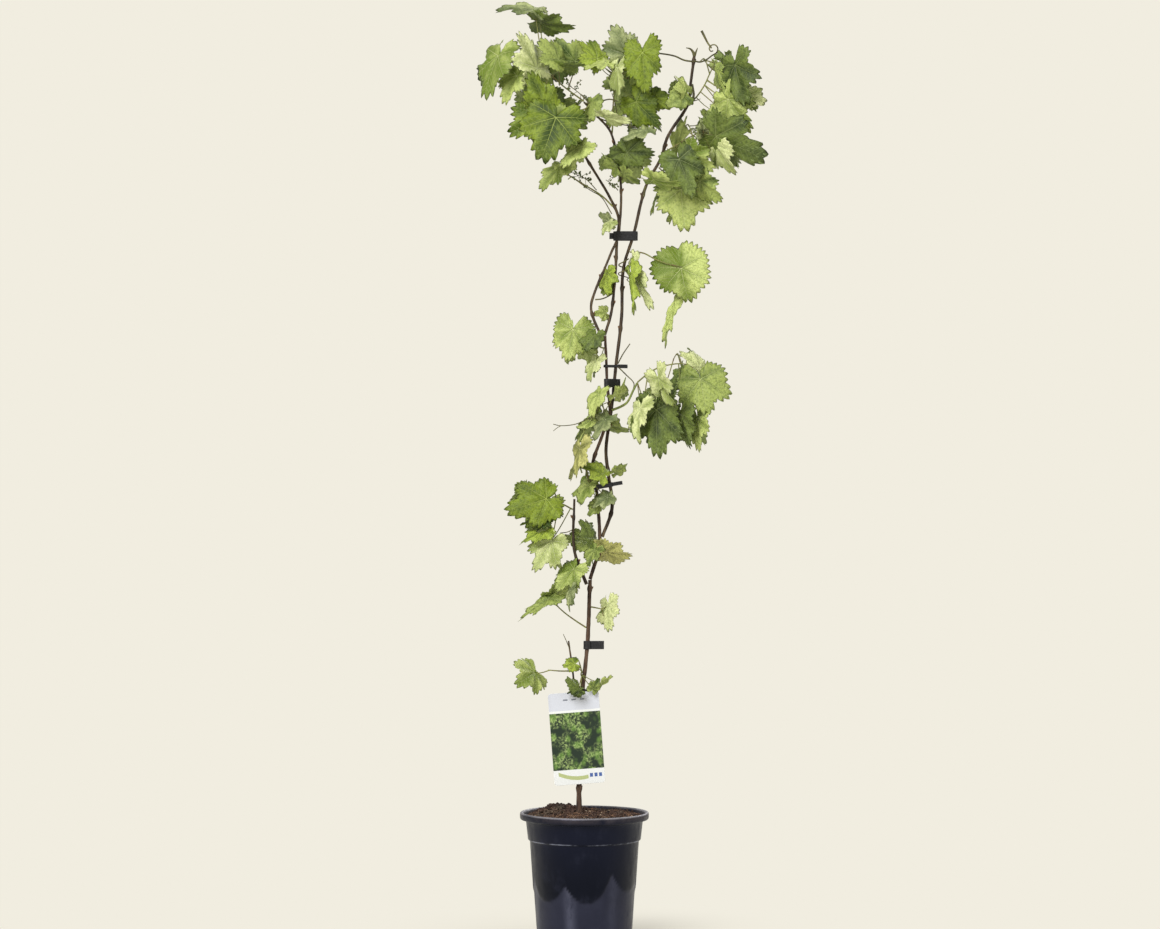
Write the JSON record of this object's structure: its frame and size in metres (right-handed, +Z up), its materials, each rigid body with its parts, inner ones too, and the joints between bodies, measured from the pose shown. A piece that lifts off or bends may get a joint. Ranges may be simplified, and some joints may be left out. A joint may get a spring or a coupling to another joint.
{
  "type": "potted grapevine",
  "caption": "Young grapevine about 1.23 m tall in a round black nursery pot: slim tied canes, loose masses of lobed leaves, a full leafy top and a blank-style care card.",
  "frame": {"origin": "centre of the pot's flat underside", "axes": "+Z up from the pot to the vine's top, -Y towards the front, where the card hangs, +X to the right seen from the front"},
  "size_m": [0.3792, 0.22, 1.2346],
  "materials": {
    "bark": "matt brown young bark",
    "cane": "satin olive-brown cane",
    "shoot": "satin green shoot",
    "leaf_bright": "satin yellow-green leaf",
    "leaf_deep": "satin deep green leaf",
    "leaf_mid": "satin mid-green leaf",
    "leaf_grey": "matt grey-green underside",
    "leaf_lime": "satin lime-green leaf",
    "leaf_pale": "pale thin leaf",
    "leaf_olive": "satin olive leaf",
    "leaf_yellow": "satin yellowing leaf",
    "tie": "matt black",
    "card": "satin printed card, white and green",
    "pot": "satin blue-black",
    "soil": "matt moist brown potting mix"
  },
  "bodies": {
    "root": {"trunk": "bark", "leader": "bark", "left_shoot": "cane", "right_stem": "cane", "straight_bough": "cane", "bowed_bough": "cane", "right_shoot": "shoot", "low_shoot": "shoot", "hanging_shoot": "shoot", "foliage_top_left": "leaf_mid", "foliage_left_front": "leaf_bright", "foliage_left_low": "leaf_deep", "foliage_centre_top": "leaf_bright", "foliage_centre": "leaf_olive", "foliage_tip": "leaf_olive", "foliage_right_high": "leaf_lime", "foliage_right": "leaf_deep", "foliage_right_low": "leaf_grey", "foliage_tie": "leaf_olive", "leaf_round": "leaf_pale", "leaves_hanging": "leaf_bright", "leaf_yellow": "leaf_yellow", "leaf_olive": "leaf_olive", "foliage_right_mid": "leaf_mid", "leaves_knot": "leaf_deep", "leaves_mid": "leaf_lime", "leaves_lower_mid": "leaf_grey", "foliage_left": "leaf_deep", "leaves_fork_right": "leaf_deep", "leaves_fork_left": "leaf_mid", "leaf_drooping": "leaf_deep", "leaf_right_yellow": "leaf_olive", "leaf_right_pale": "leaf_lime", "leaf_low_left": "leaf_bright", "leaves_low": "leaf_olive", "tie_upper": "tie", "tie_second": "tie", "tie_third": "tie", "tie_fourth": "tie", "tie_lower": "tie", "label_card": "card", "pot": "pot", "soil": "soil"}
  },
  "joints": []
}
